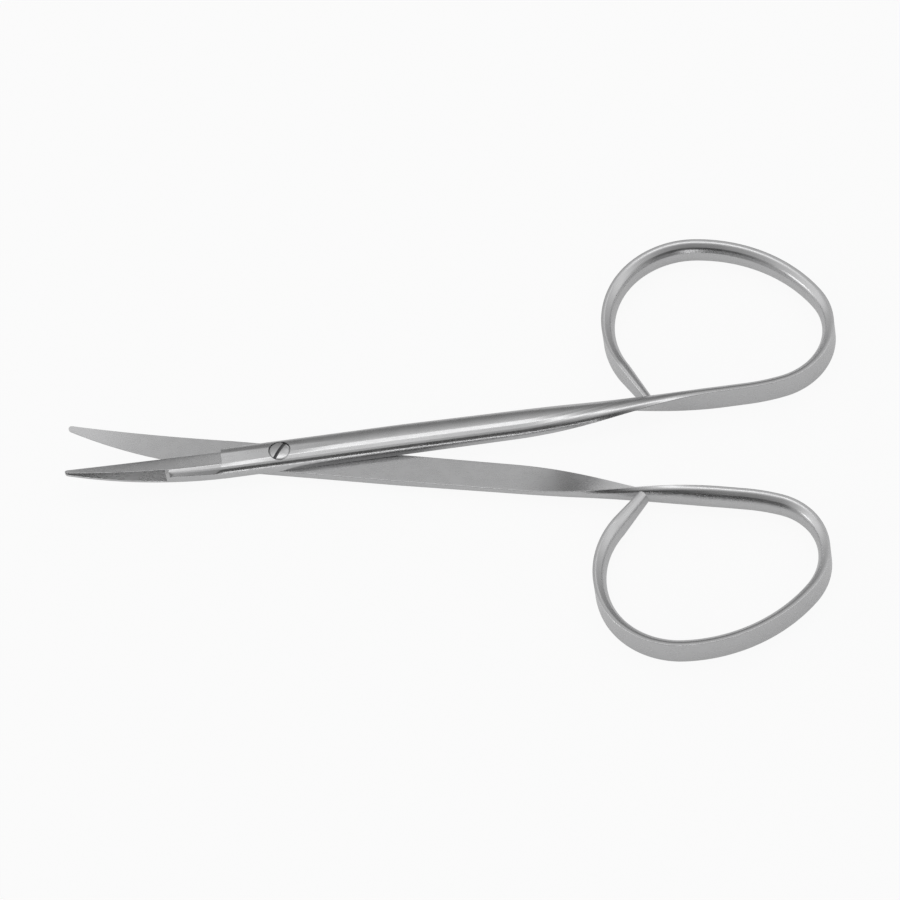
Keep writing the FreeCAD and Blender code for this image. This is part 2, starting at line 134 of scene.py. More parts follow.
strip = {
    "faceGap": 0.1,
    "width": (4.8, 4.35, 2.9),      # at the lock, in the ring, at the end of the tail
    "wall": (1.4, 0.6, 0.5),        # straight sides under the dome
    "crown": (0.92, 1.3, 0.8),      # height of the dome over them
    "lockReach": 8.8,               # the lock ends here towards the blade
    "lockHeel": 6.0,                # and here towards the ring
    "reliefEnd": 18.0,              # from here on the half lies clear of its mate
    "neckStart": 35.3,              # quarter turn of the section
    "neckEnd": 67.3,
    "ringStart": 70.7,
    "bends": ((30.9, 10.6), (10.7, 108.3), (24.7, 52.6), (13.45, 70.6)),    # radius, turn
    "tailLength": 7.3,              # straight end of the ribbon
    "tailSeat": (55.5, 0.8),        # where it rests on the neck
    "facetDepth": 0.17,             # flat on the outside of the lock
    "facetEnd": 10.0,
    "facetTilt": 6.0,               # of that flat towards the back of the blade
    "rounding": (0.1, 0.8, 0.1, 0.8, 0.1),      # reach of the rounding from each corner of the section
    "ringRounding": (0.1, 0.3, 0.1, 0.3, 0.1),
    "straightStep": 0.8,            # between sections
    "bendStep": 0.5,
}
blade = {
    "reach": 32.3,
    "riseRadius": 82.0,             # the blade bends up and away from the lock
    "tipWidth": 1.05,
    "tipOffset": -0.05,
    "edgeBow": 0.58,                # outwards from a straight line, halfway along
    "spineBow": 0.33,
    "edgeLand": 0.16,               # thickness left at the cutting edge and at the back
    "spineLand": 0.3,
    "ridge": (2.1, 0.6),            # height over the inner face, at the shoulder and at the tip
    "ridgeOffset": (-1.0, -0.3),
    "tipThickness": 1.2,            # of the forging, before it is ground
    "backFacet": 17.4,              # from the pivot to where the back is ground as well
    "ramp": 0.7,                    # length over which the grinding goes in
    "step": 0.4,                    # between sections
    "tipRows": 6,
    "halvings": 40,                 # on the way to the ridge
    "rounding": (0.015, 0.04, 0.1, 0.06, 0.05),
    "roundingFade": 1.2,            # over which the strip's rounding goes into the blade's
    "tolerance": 0.001,             # along the blade, where two places count as one
}
outline = {
    "basePoints": 8,
    "bevelPoints": 24,              # dome from the edge side to the ridge
    "backPoints": 10,               # dome from the ridge to the back
    "cornerPoints": 5,              # of each rounded corner
    "cornerRoom": 0.22,             # kept free beside a corner, in half widths of the strip
    "sharedReach": 0.47,            # most of a side that a corner takes, where the side has one at both ends
    "loneReach": 0.95,
    "weld": 0.0004,
}


# Round the section: base, edge corner, wall, edge side of the dome, ridge, back side, wall, back corner
def spans():
    ridge = ridgeAcross()
    return ((-1, 1, outline["basePoints"]), (1, ridge, outline["bevelPoints"]),
            (ridge, -1, outline["backPoints"]))


def innerShares(start, end, count):
    room = outline["cornerRoom"] / abs(end - start)
    return [room + (1 - 2 * room) * i / (count - 1) for i in range(count)]


# Each point: how far across (-1 to 1), share of the wall, and whether the dome is over it
def outlineShares():
    base, bevel, back = ([start + (end - start) * share for share in innerShares(start, end, count)]
                         for start, end, count in spans())
    corner = outline["cornerPoints"]
    ridge = ridgeAcross()
    return ([(across, 0, 0) for across in base] + [(1, 0, 0)] * corner + [(1, 1, 0)] * corner
            + [(across, 1, 1) for across in bevel] + [(ridge, 1, 1)] * corner
            + [(across, 1, 1) for across in back] + [(-1, 1, 0)] * corner + [(-1, 0, 0)] * corner)


def cornerStarts():
    corner, base = outline["cornerPoints"], outline["basePoints"]
    ridge = base + 2 * corner + outline["bevelPoints"]
    rear = ridge + corner + outline["backPoints"]
    return base, base + corner, ridge, rear, rear + corner


def blended(first, last, share):
    return [start + (end - start) * share for start, end in zip(first, last)]


# The points of each corner move on to a curve that leaves its two sides at the reach
def roundCorners(points, reaches):
    count, starts = outline["cornerPoints"], cornerStarts()
    shared, lone = outline["sharedReach"], outline["loneReach"]
    rounded = list(points)
    for start, reach in zip(starts, reaches):
        corner = points[start]
        # a wall is shared by the corners at both its ends
        most = (shared if start - count in starts else lone, shared if start + count in starts else lone)
        sides = [points[place % len(points)] - corner for place in (start - 1, start + count)]
        first, last = (corner + side * min(limit, reach / max(side.length, reach))
                       for side, limit in zip(sides, most))
        for i in range(count):
            share = i / (count - 1)
            rounded[start + i] = first.lerp(corner, share).lerp(corner.lerp(last, share), share)
    return rounded


def domeHeight(across, width, crown):
    radius = (width ** 2 / 4 + crown ** 2) / (2 * crown)
    return math.sqrt(radius ** 2 - across ** 2) - radius + crown


def rise(side, along):
    return side * (blade["riseRadius"] - math.sqrt(blade["riseRadius"] ** 2 - along ** 2))


# Heights over one point of the blade: the forged dome, the long bevel and the back facet
def bladeTop(side, x, y):
    along = -x - strip["lockReach"]
    length = blade["reach"] - strip["lockReach"]
    share, blankShare = along / length, along / (length + blade["tipWidth"])
    level = rise(side, along)
    width, wall, crown = strip["width"][0], strip["wall"][0], strip["crown"][0]
    thinning = (blade["tipThickness"] - wall - crown) * blankShare ** 2
    dome = level + wall + thinning + domeHeight(y, width, crown)
    ridgeY, ridgeZ = blended(*zip(blade["ridgeOffset"], blade["ridge"]), share ** 2)
    edgeY, spineY = planform(share)
    level += strip["faceGap"] / 2
    bevel = level + blade["edgeLand"] + (ridgeZ - blade["edgeLand"]) * (y - edgeY) / (ridgeY - edgeY)
    back = level + blade["spineLand"] + (ridgeZ - blade["spineLand"]) * (y - spineY) / (ridgeY - spineY)
    back += crown * min(1, max(0, (x + blade["backFacet"]) / blade["ramp"]))
    if x > blade["ramp"] - blade["backFacet"] + blade["tolerance"]:
        back = dome
    return dome, bevel, back


# Cutting edge and back of the blade, seen from above
def planform(share):
    half, tip = strip["width"][0] / 2, blade["tipWidth"] / 2
    bow = 4 * share * (1 - share)
    edge = half + (blade["tipOffset"] + tip - half) * share + blade["edgeBow"] * bow
    spine = -half + (blade["tipOffset"] - tip + half) * share - blade["spineBow"] * bow
    return edge, spine


# Where the bevel meets what lies behind it, by halving
def ridgeAt(side, x, edge, spine):
    low, high = spine, edge
    for _ in range(blade["halvings"]):
        middle = (low + high) / 2
        dome, bevel, back = bladeTop(side, x, middle)
        if bevel > min(dome, back):
            low = middle
        else:
            high = middle
    return (low + high) / 2


def ridgeAcross():
    half = strip["width"][0] / 2
    return ridgeAt(1, -strip["lockReach"], half, -half) / half


# One section of the blade, its points in the order of the strip's outline
def bladeRow(side, x, edge, spine):
    ridge = ridgeAt(side, x, edge, spine)

    def inner(y):
        return strip["faceGap"] / 2 + rise(side, max(0, math.hypot(x, y) - strip["lockReach"]))

    def top(y):
        return max(min(bladeTop(side, x, y)), inner(y) + blade["edgeLand"] / 2)

    def across(start, end, span):
        return [start + (end - start) * share for share in innerShares(*span)]

    base, bevel, back = spans()
    corner = outline["cornerPoints"]
    points = [(x, y, inner(y)) for y in across(spine, edge, base)]
    points += [(x, edge, inner(edge))] * corner + [(x, edge, top(edge))] * corner
    points += [(x, y, top(y)) for y in across(edge, ridge, bevel)] + [(x, ridge, top(ridge))] * corner
    points += [(x, y, top(y)) for y in across(ridge, spine, back)]
    points += [(x, spine, top(spine))] * corner + [(x, spine, inner(spine))] * corner
    fade = min(1, (-x - strip["lockReach"]) / blade["roundingFade"])
    reaches = blended(strip["rounding"], blade["rounding"], fade)
    return roundCorners([Vector(point) for point in points], reaches)


def bladeRows(side):
    tip = blade["tipWidth"] / 2
    start, roundStart = -strip["lockReach"], -blade["reach"] + tip
    count = round((start - roundStart) / blade["step"])
    places = [start + (roundStart - start) * i / count for i in range(count + 1)]
    places += [-blade["backFacet"], blade["ramp"] - blade["backFacet"]]
    length = blade["reach"] - strip["lockReach"]
    rows = []
    for x in sorted(set(places), reverse=True):
        share = (start - x) / (length - tip)
        rows.append(bladeRow(side, x, *planform(min(1, share))))
    for i in range(1, blade["tipRows"]):
        turn = math.pi / 2 * i / blade["tipRows"]    # round the tip
        half = tip * math.cos(turn)
        x = roundStart - tip * math.sin(turn)
        rows.append(bladeRow(side, x, blade["tipOffset"] + half, blade["tipOffset"] - half))
    return rows


# Rail of the strip, as stations: point, heading, distance from the pivot along the rail, share of the tail
def ringStations():
    stations = []
    lead = strip["ringStart"] + strip["lockReach"]
    count = round(lead / strip["straightStep"])
    for i in range(count):
        x = -strip["lockReach"] + lead * i / count
        stations.append((Vector((x, 0, 0)), 0.0, x, 0.0))
    x, y, heading, run = strip["ringStart"], 0.0, 0.0, strip["ringStart"]

    def bend(radius, turn):
        nonlocal x, y, heading, run
        centreX, centreY = x - radius * math.sin(heading), y + radius * math.cos(heading)
        steps = max(3, round(radius * turn / strip["bendStep"]))
        for i in range(steps):
            now = heading + turn * i / steps
            point = Vector((centreX + radius * math.sin(now), centreY - radius * math.cos(now), 0))
            stations.append((point, now, run + radius * turn * i / steps, 0.0))
        heading += turn
        run += radius * turn
        x, y = centreX + radius * math.sin(heading), centreY - radius * math.cos(heading)

    for radius, turn in strip["bends"]:
        bend(radius, math.radians(turn))
    # the last bend takes the radius with which the straight tail ends in the neck
    seat, tail = Vector((*strip["tailSeat"], 0)), strip["tailLength"]
    toSeat = seat - Vector((x, y, 0))
    inward = Vector((-math.sin(heading), math.cos(heading), 0))
    radius = (toSeat.length_squared - tail ** 2) / (2 * toSeat.dot(inward))
    fromCentre = toSeat - inward * radius
    last = math.atan2(fromCentre.y, fromCentre.x) + math.atan2(radius, tail)
    bend(radius, (last - heading) % (2 * math.pi))
    steps = round(tail / strip["bendStep"])
    root = Vector((x, y, 0))
    for i in range(steps + 1):
        stations.append((root.lerp(seat, i / steps), heading, run + tail * i / steps, i / steps))
    return stations


# Swept strip

def meshOf(name, build):
    mesh = bpy.data.meshes.new(name)
    build.to_mesh(mesh)
    build.free()
    return mesh


def meshFrom(name, points, edges, faces=()):
    mesh = bpy.data.meshes.new(name)
    mesh.from_pydata([tuple(point) for point in points], edges, faces)
    return mesh


def newObject(name, mesh):
    obj = bpy.data.objects.new(name, mesh)
    bpy.context.scene.collection.objects.link(obj)
    return obj


def addAttribute(mesh, name, kind, values):
    layer = mesh.attributes.new(name, kind, "POINT")
    key = "vector" if kind == "FLOAT_VECTOR" else "value"
    flat = [part for value in values for part in value] if key == "vector" else list(values)
    layer.data.foreach_set(key, flat)


def railObject(name, stations):
    count = len(stations)
    mesh = meshFrom(name, [point for point, *_ in stations], [(i, i + 1) for i in range(count - 1)])
    left = [(-math.sin(heading), math.cos(heading), 0) for _, heading, *_ in stations]
    addAttribute(mesh, "leftward", "FLOAT_VECTOR", left)
    addAttribute(mesh, "station", "FLOAT", [station for *_, station, _ in stations])
    addAttribute(mesh, "tailShare", "FLOAT", [share for *_, share in stations])
    return newObject(name, mesh)


def outlineObject(name):
    shares = outlineShares()
    count = len(shares)
    points = [(across, wall + dome, 0) for across, wall, dome in shares]
    mesh = meshFrom(name, points, [(i, (i + 1) % count) for i in range(count)])
    for index, key in enumerate(("across", "wallShare", "domeShare")):
        addAttribute(mesh, key, "FLOAT", [share[index] for share in shares])
    return newObject(name, mesh)


sweepInputs = {
    "Face gap": strip["faceGap"],
    "Width at lock": strip["width"][0],
    "Width of ribbon": strip["width"][1],
    "Width of tail": strip["width"][2],
    "Wall at lock": strip["wall"][0],
    "Wall of ribbon": strip["wall"][1],
    "Wall of tail": strip["wall"][2],
    "Crown at lock": strip["crown"][0],
    "Crown of ribbon": strip["crown"][1],
    "Crown of tail": strip["crown"][2],
    "Lock reach": strip["lockReach"],
    "Lock heel": strip["lockHeel"],
    "Relief end": strip["reliefEnd"],
    "Neck start": strip["neckStart"],
    "Neck end": strip["neckEnd"],
    "Facet depth": strip["facetDepth"],
    "Facet end": strip["facetEnd"],
    "Facet tilt": math.tan(math.radians(strip["facetTilt"])),
}


# D section swept along the rail: it tapers, turns through a quarter in the neck and ends narrow
def sweepTree():
    tree = bpy.data.node_groups.new("stripSweep", "GeometryNodeTree")
    graph = Graph(tree)
    tree.interface.new_socket("Geometry", in_out="INPUT", socket_type="NodeSocketGeometry")
    tree.interface.new_socket("Outline", in_out="INPUT", socket_type="NodeSocketObject")
    tree.interface.new_socket("Steel", in_out="INPUT", socket_type="NodeSocketMaterial")
    for name, value in sweepInputs.items():
        tree.interface.new_socket(name, in_out="INPUT", socket_type="NodeSocketFloat").default_value = value
    tree.interface.new_socket("Geometry", in_out="OUTPUT", socket_type="NodeSocketGeometry")
    given = graph.add("NodeGroupInput")
    size = {name: Term(graph, given.outputs[name]) for name in sweepInputs}

    def named(name, kind="FLOAT"):
        return graph.term(graph.add("GeometryNodeInputNamedAttribute", {"data_type": kind}, {"Name": name}))

    def between(start, end, value):
        return ((value - start) / (end - start)).clamped()

    def scaled(vector, factor):
        node = graph.add("ShaderNodeVectorMath", {"operation": "SCALE"}, {0: vector, "Scale": factor})
        return graph.term(node)

    def summed(first, second):
        return graph.term(graph.add("ShaderNodeVectorMath", {"operation": "ADD"}, {0: first, 1: second}))

    rail = graph.add("GeometryNodeMeshToCurve", None, {"Mesh": given.outputs["Geometry"]})
    kept = graph.add("GeometryNodeStoreNamedAttribute", {"data_type": "FLOAT_VECTOR"},
                     {"Geometry": rail.outputs[0], "Name": "railPoint",
                      "Value": graph.add("GeometryNodeInputPosition").outputs[0]})
    shape = graph.add("GeometryNodeObjectInfo", None, {"Object": given.outputs["Outline"]})
    loop = graph.add("GeometryNodeMeshToCurve", None, {"Mesh": shape.outputs["Geometry"]})
    swept = graph.add("GeometryNodeCurveToMesh", None,
                      {"Curve": kept.outputs[0], "Profile Curve": loop.outputs[0]})
    station, tail = named("station"), named("tailShare")
    thinned = between(size["Relief end"], size["Neck end"], station)

    def tapered(kind):
        lock, ribbon, end = size[f"{kind} at lock"], size[f"{kind} of ribbon"], size[f"{kind} of tail"]
        body = lock + (ribbon - lock) * thinned
        return body + (end - body) * tail

    width, wall, crown = (tapered(kind) for kind in ("Width", "Wall", "Crown"))
    turned = between(size["Neck start"], size["Neck end"], station)
    turn = turned * turned * (3 - turned * 2) * (math.pi / 2)
    lift = size["Face gap"] / 2 * between(size["Lock heel"], size["Relief end"], station)
    sideways = named("across") * width / 2
    radius = (width * width / 4 + crown * crown) / (crown * 2)
    dome = (radius * radius - sideways * sideways).math("SQRT") - radius + crown
    height = named("wallShare") * wall + named("domeShare") * dome
    toFacetEnd = (size["Facet end"] - station) / (size["Facet end"] + size["Lock reach"])
    facet = size["Wall at lock"] + size["Crown at lock"] - size["Facet depth"] * toFacetEnd
    facet += sideways * size["Facet tilt"] * toFacetEnd.clamped()
    outward = lift + height.math("MINIMUM", facet)
    upward, left = (0, 0, 1), named("leftward", "FLOAT_VECTOR")
    cosine, sine = turn.math("COSINE"), turn.math("SINE")
    across = summed(scaled(left, cosine), scaled(upward, sine * -1))
    normal = summed(scaled(upward, cosine), scaled(left, sine))
    aside = summed(scaled(across, sideways), scaled(normal, outward))
    place = summed(named("railPoint", "FLOAT_VECTOR"), aside)
    moved = graph.add("GeometryNodeSetPosition", None, {"Geometry": swept.outputs[0], "Position": place})
    real = graph.add("GeometryNodeRealizeInstances", None, {"Geometry": moved.outputs[0]})
    dressed = graph.add("GeometryNodeSetMaterial", None,
                        {"Geometry": real.outputs[0], "Material": given.outputs["Steel"]})
    graph.add("NodeGroupOutput", None, {"Geometry": dressed.outputs[0]})
    return tree


# Plain mesh of an object with its modifiers applied
def evaluated(obj):
    bpy.context.view_layer.update()
    graph = bpy.context.evaluated_depsgraph_get()
    return bpy.data.meshes.new_from_object(obj.evaluated_get(graph))


def sweptStrip(name, stations, outlineObj, steel):
    rail = railObject(name, stations)
    modifier = rail.modifiers.new("sweep", "NODES")
    modifier.node_group = sweepTree()
    for item in modifier.node_group.interface.items_tree:
        if item.in_out == "INPUT" and item.name == "Outline":
            modifier[item.identifier] = outlineObj
        if item.in_out == "INPUT" and item.name == "Steel":
            modifier[item.identifier] = steel
    mesh = evaluated(rail)
    rail.modifiers.clear()
    bpy.data.objects.remove(rail)
    return mesh


# Materials

steelLook = {
    "colour": (0.60, 0.60, 0.605),
    "colourSpread": 0.07,
    "roughness": 0.28,
    "roughnessSpread": 0.10,
    "grainScale": 9.0,
    "grainStretch": (0.10, 1.0, 1.0),   # long along the strip
    "grainDetail": 4.0,
    "grainBump": 0.05,
    "bumpHeight": 0.0001,
    "cloudScale": 0.45,
    "cloudDetail": 3.0,
    "cloudRoughness": 0.12,
    "cloudShare": 0.6,                  # of the tint, the rest is grain
}


def newMaterial(name):
    material = bpy.data.materials.new(name)
    material.use_nodes = True
    material.node_tree.nodes.clear()
    return material, Graph(material.node_tree)


# Stainless steel, ground lengthwise and blasted satin; where a shade colour is given, the recess attribute
# mixes the steel's colour over to it, as painted shade
def satinSteel(name, look, paintedShadeColour=None):
    material, graph = newMaterial(name)
    place = graph.add("ShaderNodeAttribute", {"attribute_name": "grain"}).outputs["Vector"]
    stretched = graph.add("ShaderNodeMapping", None, {"Vector": place, "Scale": look["grainStretch"]})
    fine = graph.add("ShaderNodeTexNoise", None, {"Vector": stretched.outputs[0], "Scale": look["grainScale"],
                                                  "Detail": look["grainDetail"]})
    broad = graph.add("ShaderNodeTexNoise", None, {"Vector": place, "Scale": look["cloudScale"],
                                                   "Detail": look["cloudDetail"]})
    grain, cloud = graph.term(fine), graph.term(broad)
    roughness = (look["roughness"] + (grain - 0.5) * look["roughnessSpread"]
                 + (cloud - 0.5) * look["cloudRoughness"])
    patches = (cloud * look["cloudShare"] + grain * (1 - look["cloudShare"])).clamped()
    tint = graph.add("ShaderNodeMix", {"data_type": "RGBA"}, {0: patches})
    for socket, factor in ((6, 1 - look["colourSpread"]), (7, 1 + look["colourSpread"])):
        graph.feed(tint.inputs[socket], tuple(part * factor for part in look["colour"]) + (1,))
    bump = graph.add("ShaderNodeBump", None, {"Strength": look["grainBump"], "Distance": look["bumpHeight"],
                                              "Height": fine.outputs[0]})
    colour = tint.outputs[2]
    # painted shade: where the recess attribute is 1, the colour goes over to the dark shade colour
    if paintedShadeColour:
        recess = graph.add("ShaderNodeAttribute", {"attribute_name": "recess"}).outputs["Fac"]
        darkened = graph.add("ShaderNodeMix", {"data_type": "RGBA"}, {0: recess, 6: colour})
        graph.feed(darkened.inputs[7], paintedShadeColour + (1,))
        colour = darkened.outputs[2]
    shader = graph.add("ShaderNodeBsdfPrincipled", None, {"Base Color": colour, "Metallic": 1.0,
                                                          "Roughness": roughness, "Normal": bump.outputs[0]})
    graph.add("ShaderNodeOutputMaterial", None, {"Surface": shader.outputs[0]})
    return material


# One half

sharpAngle = math.radians(36)       # edges over it stay sharp
screwSize = {
    "headDiameter": 3.2,
    "headHeight": 1.0,
    "headTop": 2.2,
    "headChamfer": 0.12,
    "headDome": 0.22,               # fall of the head's top from its middle to the chamfer
    "headSteps": 8,
    "boltDiameter": 2.2,
    "boltEnd": 2.2,
    "boltPlay": 0.04,               # radial, in the front half
    "boreOverlap": 0.3,             # of the front half's two holes
    "clearance": 0.06,              # round the head
    "slotWidth": 0.5,
    "slotDepth": 0.45,
    "slotAngle": 62.0,              # to the length of the scissors
    "slotShade": (0.12, 0.12, 0.125),  # painted shade on the slot's floor, fading up its walls
    "floorBand": 0.05,              # heights that count as the slot's floor
    "edgeRounding": 0.035,
    "edgeAngle": 30.0,
    "sides": 96,
    "cutDepth": 5.0,                # past either face of the half
}


# Strip and blade in one closed skin
def halfMesh(name, side, stations, outlineObj, steel):
    mesh = sweptStrip(name + "Rail", stations, outlineObj, steel)
    build = bmesh.new()
    build.from_mesh(mesh)
    build.verts.ensure_lookup_table()
    count = len(outlineShares())
    for index, (_, _, station, _) in enumerate(stations):
        row = [build.verts[index * count + i] for i in range(count)]
        thinned = min(1, max(0, (station - strip["reliefEnd"]) / (strip["neckEnd"] - strip["reliefEnd"])))
        reaches = blended(strip["rounding"], strip["ringRounding"], thinned)
        for vert, point in zip(row, roundCorners([vert.co.copy() for vert in row], reaches)):
            vert.co = point
    ring = [build.verts[i] for i in range(count)]
    for row in bladeRows(side):
        nextRing = [build.verts.new(point) for point in row]
        for i in range(count):
            j = (i + 1) % count
            build.faces.new((ring[i], ring[j], nextRing[j], nextRing[i]))
        ring = nextRing
    bmesh.ops.remove_doubles(build, verts=build.verts, dist=outline["weld"])
    bmesh.ops.dissolve_degenerate(build, edges=build.edges, dist=outline["weld"])
    bmesh.ops.holes_fill(build, edges=[edge for edge in build.edges if edge.is_boundary], sides=0)
    bmesh.ops.recalc_face_normals(build, faces=build.faces)
    build.to_mesh(mesh)
    build.free()
    return mesh


# Smooth shading that keeps broad faces flat and the sharp edges sharp
def shadeSmooth(obj):
    build = bmesh.new()
    build.from_mesh(obj.data)
    for face in build.faces:
        face.smooth = True
    for edge in build.edges:
        edge.smooth = edge.is_manifold and edge.calc_face_angle(0) < sharpAngle
    build.to_mesh(obj.data)
    build.free()
    even = obj.modifiers.new("even", "WEIGHTED_NORMAL")
    even.keep_sharp = True
    mesh = evaluated(obj)
    obj.modifiers.clear()
    obj.data = mesh


def cylinderMesh(name, radius, low, high, sides):
    build = bmesh.new()
    depth = high - low
    bmesh.ops.create_cone(build, cap_ends=True, segments=sides, radius1=radius, radius2=radius, depth=depth,
                          matrix=Matrix.Translation((0, 0, (low + high) / 2)))
    return meshOf(name, build)


# Place along and across the strip, for the grain of the steel
def markGrain(mesh, stations):
    tree = kdtree.KDTree(len(stations))
    for index, (point, *_) in enumerate(stations):
        tree.insert(point, index)
    tree.balance()
    marks = []
    for vert in mesh.vertices:
        if vert.co.x < stations[0][0].x:
            marks.append(tuple(vert.co))
            continue
        point, heading, station, _ = stations[tree.find(vert.co)[1]]
        forward = Vector((math.cos(heading), math.sin(heading), 0))
        left = Vector((-forward.y, forward.x, 0))
        away = vert.co - point
        marks.append((station + away.dot(forward), away.dot(left), away.z))
    addAttribute(mesh, "grain", "FLOAT_VECTOR", marks)


def cutAway(obj, cutter):
    cut = obj.modifiers.new("cut", "BOOLEAN")
    cut.operation = "DIFFERENCE"
    cut.solver = "EXACT"
    cut.object = cutter


# The object keeps its plain mesh, and the cutters go
def applyCuts(obj, cutters):
    mesh = evaluated(obj)
    obj.modifiers.clear()
    obj.data = mesh
    for cutter in cutters:
        bpy.data.objects.remove(cutter)


def makeHalf(name, body, side, turnedOver, outlineObj, steel, holes):
    stations = ringStations()
    obj = newObject(name, halfMesh(name, side, stations, outlineObj, steel))
    cutters = [newObject(f"{name}Hole{i}", cylinderMesh("hole", *hole, screwSize["sides"]))
               for i, hole in enumerate(holes)]
    for cutter in cutters:
        cutAway(obj, cutter)
    applyCuts(obj, cutters)
    shadeSmooth(obj)
    mesh = obj.data
    markGrain(mesh, stations)
    turn = Matrix.Rotation(openAngle / 2 * (-1 if turnedOver else 1), 4, "Z")
    if turnedOver:
        turn = turn @ Matrix.Rotation(math.pi, 4, "X")
    mesh.transform(Matrix.Translation(pivot) @ turn @ Matrix.Scale(mm, 4))
    mesh.materials.clear()
    mesh.materials.append(steel)
    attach(obj, body)
    return obj


outlineObj = outlineObject("outline")
steel = satinSteel("satinSteel", steelLook)
bore, headSeat = screwSize["boltDiameter"] / 2, screwSize["headTop"] - screwSize["headHeight"]
deep = screwSize["cutDepth"]
# each hole: radius, from, to
frontHoles = ((bore + screwSize["boltPlay"], -deep, headSeat + screwSize["boreOverlap"]),
              (screwSize["headDiameter"] / 2 + screwSize["clearance"], headSeat, deep))
backHoles = ((bore, -deep, deep),)
front = makeHalf("frontHalf", "front", 1, False, outlineObj, steel, frontHoles)
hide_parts("front_half")
print("front half made,", len(front.data.polygons), "faces")
back = makeHalf("backHalf", "back", -1, True, outlineObj, steel, backHoles)
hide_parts("back_half")
print("back half made,", len(back.data.polygons), "faces")
bpy.data.objects.remove(outlineObj)


# Pivot screw

def lathe(profile, sides):
    build = bmesh.new()
    rows = []
    for i in range(sides):
        turn = 2 * math.pi * i / sides
        rows.append([build.verts.new((radius * math.cos(turn), radius * math.sin(turn), z))
                     for radius, z in profile])
    for first, second in zip(rows, rows[1:] + rows[:1]):
        for i in range(len(profile) - 1):
            build.faces.new((first[i], second[i], second[i + 1], first[i + 1]))
    build.faces.new([row[0] for row in reversed(rows)])
    build.faces.new([row[-1] for row in rows])
    bmesh.ops.recalc_face_normals(build, faces=build.faces)
    return meshOf("lathe", build)


def boxMesh(name, length, width, low, high):
    build = bmesh.new()
    size = Matrix.Diagonal((length, width, high - low, 1))
    bmesh.ops.create_cube(build, size=1, matrix=Matrix.Translation((0, 0, (low + high) / 2)) @ size)
    return meshOf(name, build)


def makeScrew():
    size = screwSize
    head, bolt, chamfer = size["headDiameter"] / 2, size["boltDiameter"] / 2, size["headChamfer"]
    top, end = size["headTop"], -size["boltEnd"]
    rim, dome = head - chamfer, size["headDome"]
    profile = [(bolt - chamfer, end), (bolt, end + chamfer), (bolt, top - size["headHeight"]),
               (head, top - size["headHeight"]), (head, top - dome - chamfer)]
    outwards = [1 - i / size["headSteps"] for i in range(size["headSteps"])]
    profile += [(rim * share, top - dome * share ** 2) for share in outwards]
    obj = newObject("pivotScrew", lathe(profile, size["sides"]))
    floor = top - size["slotDepth"]
    slot = newObject("slot", boxMesh("slot", 2 * size["headDiameter"], size["slotWidth"], floor,
                                     top + size["headHeight"]))
    slot.data.transform(Matrix.Rotation(math.radians(size["slotAngle"]), 4, "Z"))
    cutAway(obj, slot)
    rounding = obj.modifiers.new("rounding", "BEVEL")
    rounding.limit_method = "ANGLE"
    rounding.angle_limit = math.radians(size["edgeAngle"])
    rounding.width = size["edgeRounding"]
    rounding.segments = 2
    applyCuts(obj, [slot])
    shadeSmooth(obj)
    mesh = obj.data
    addAttribute(mesh, "grain", "FLOAT_VECTOR", [tuple(vert.co) for vert in mesh.vertices])
    # painted shade: points on the slot's floor get the dark colour, which fades up the slot's walls
    onFloor = [abs(vert.co.z - floor) < size["floorBand"] for vert in mesh.vertices]
    addAttribute(mesh, "recess", "FLOAT", [1.0 if low else 0.0 for low in onFloor])
    mesh.transform(Matrix.Translation(pivot) @ Matrix.Scale(mm, 4))
    mesh.materials.clear()
    mesh.materials.append(satinSteel("screwSteel", steelLook, size["slotShade"]))
    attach(obj, "back")
    return obj


screw = makeScrew()
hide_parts("pivot_screw")
print("screw made")


# Floor, light and camera

studio = {
    "floorSize": 12.0,
    "floorWhite": 0.86,
    "floorGlow": (0.92, 0.33),      # share of white that the camera and the metal see
    "skyLight": 0.55,
    # brightness of the room from the near side, over the top, to the far side
    "room": ((-1.0, 3.6), (-0.994, 3.0), (-0.982, 0.06), (-0.76, 0.08), (-0.6, 0.36), (-0.42, 0.52),
             (-0.2, 0.76), (0.0, 1.0), (0.2, 0.95), (0.3, 0.78), (0.42, 0.63), (0.66, 0.5),
             (0.9, 0.27), (1.0, 0.21)),
    # each lamp: where it stands from the middle of the scissors, its size in metres, its brightness
    "lamps": {
        "key": ((0.0, 0.065, 0.55), (0.44, 0.14), 0.92),
        "left": ((-0.51, -0.14, 0.19), (0.14, 0.1), 3.6),
        "right": ((0.13, 0.285, 0.41), (0.16, 0.14), 0.45),
    },
}
cameraView = {
    "pixelsPerMm": 6.657,           # at the pivot, in a frame of frameSize pixels
    "distance": 1340.0,
    "pivotPixel": (281.01, 458.2),
    "frameSize": 900,
    "tip": 34.55,                   # camera leans from straight above towards the viewer
    "yaw": -6.0,
    "roll": 1.52,
    "sensor": 36.0,
}


# Share of a mix that the camera and the metal see of its second shader; the lighting sees none of it
def seenShare(graph, camera, glossy):
    path = graph.add("ShaderNodeLightPath")
    direct, mirrored = (Term(graph, path.outputs[f"Is {kind} Ray"]) for kind in ("Camera", "Glossy"))
    return direct * camera + mirrored * glossy


def makeFloor():
    half = studio["floorSize"] / 2
    corners = [(-half, -half, 0), (half, -half, 0), (half, half, 0), (-half, half, 0)]
    floor = newObject("floor", meshFrom("floor", corners, [], [(0, 1, 2, 3)]))
    material, graph = newMaterial("floor")
    white = studio["floorWhite"]
    matt = graph.add("ShaderNodeBsdfDiffuse", None, {"Color": (white, white, white, 1)})
    glow = graph.add("ShaderNodeEmission", None, {"Color": (1, 1, 1, 1), "Strength": 1.0})
    mixed = graph.add("ShaderNodeMixShader", None,
                      {0: seenShare(graph, *studio["floorGlow"]), 1: matt.outputs[0], 2: glow.outputs[0]})
    graph.add("ShaderNodeOutputMaterial", None, {"Surface": mixed.outputs[0]})
    floor.data.materials.append(material)


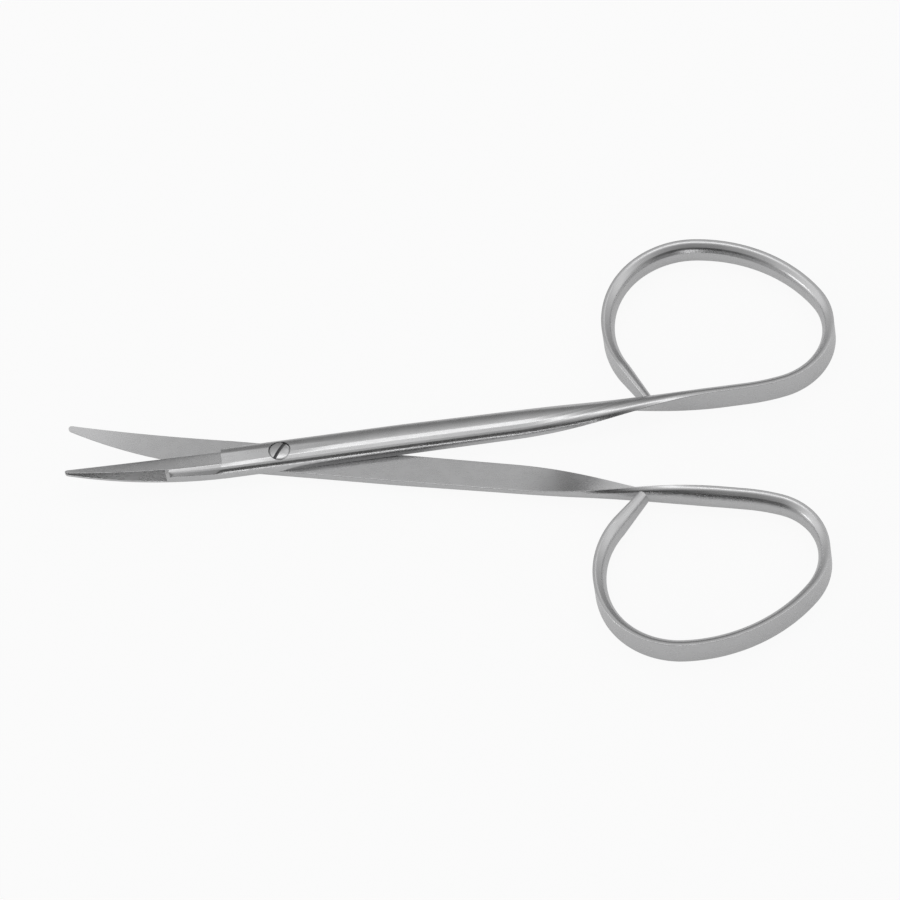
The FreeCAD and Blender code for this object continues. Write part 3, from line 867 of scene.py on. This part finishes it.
def makeWorld():
    world = bpy.data.worlds.new("studio")
    bpy.context.scene.world = world
    world.use_nodes = True
    world.node_tree.nodes.clear()
    graph = Graph(world.node_tree)
    lit = graph.add("ShaderNodeBackground", None, {"Color": (1, 1, 1, 1), "Strength": studio["skyLight"]})
    direction = graph.add("ShaderNodeTexCoord").outputs["Generated"]
    across = graph.term(graph.add("ShaderNodeSeparateXYZ", None, {0: direction}), 1) * 0.5 + 0.5
    stops = [((place + 1) / 2, bright) for place, bright in studio["room"]]
    shade = graph.add("ShaderNodeValToRGB", {"stops": stops}, {0: across})
    room = graph.add("ShaderNodeBackground", None, {"Color": shade.outputs[0], "Strength": 1.0})
    mixed = graph.add("ShaderNodeMixShader", None,
                      {0: seenShare(graph, 1, 1), 1: lit.outputs[0], 2: room.outputs[0]})
    graph.add("ShaderNodeOutputWorld", None, {"Surface": mixed.outputs[0]})


# Lamp that faces the middle; its brightness is what a mirror shows of it, with white as 1
def panelLight(name, place, size, brightness):
    data = bpy.data.lights.new(name, "AREA")
    data.shape = "RECTANGLE"
    data.size, data.size_y = size
    data.energy = brightness * math.pi * size[0] * size[1]
    lamp = bpy.data.objects.new(name, data)
    bpy.context.scene.collection.objects.link(lamp)
    lamp.location = place
    lamp.rotation_euler = Vector(place).to_track_quat("Z", "Y").to_euler()


def makeCamera():
    view = cameraView
    lean, yaw, roll = (math.radians(view[key]) for key in ("tip", "yaw", "roll"))
    turned = Matrix.Rotation(roll, 3, "Z") @ Matrix.Rotation(yaw, 3, "Y") @ Matrix.Rotation(-lean, 3, "X")
    middle, scale = view["frameSize"] / 2, view["pixelsPerMm"]
    aside = Vector(((view["pivotPixel"][0] - middle) / scale, (middle - view["pivotPixel"][1]) / scale, 0))
    data = bpy.data.cameras.new("camera")
    data.sensor_width = view["sensor"]
    data.lens = scale * view["distance"] * view["sensor"] / view["frameSize"]
    camera = bpy.data.objects.new("camera", data)
    bpy.context.scene.collection.objects.link(camera)
    place = turned.transposed() @ (Vector((0, 0, view["distance"])) - aside)
    camera.matrix_world = Matrix.Translation(pivot + place * mm) @ turned.transposed().to_4x4()
    bpy.context.scene.camera = camera


makeFloor()
makeWorld()
for name, lamp in studio["lamps"].items():
    panelLight(name, *lamp)
makeCamera()
bpy.context.scene.view_settings.view_transform = "Standard"
print("stage and camera made")
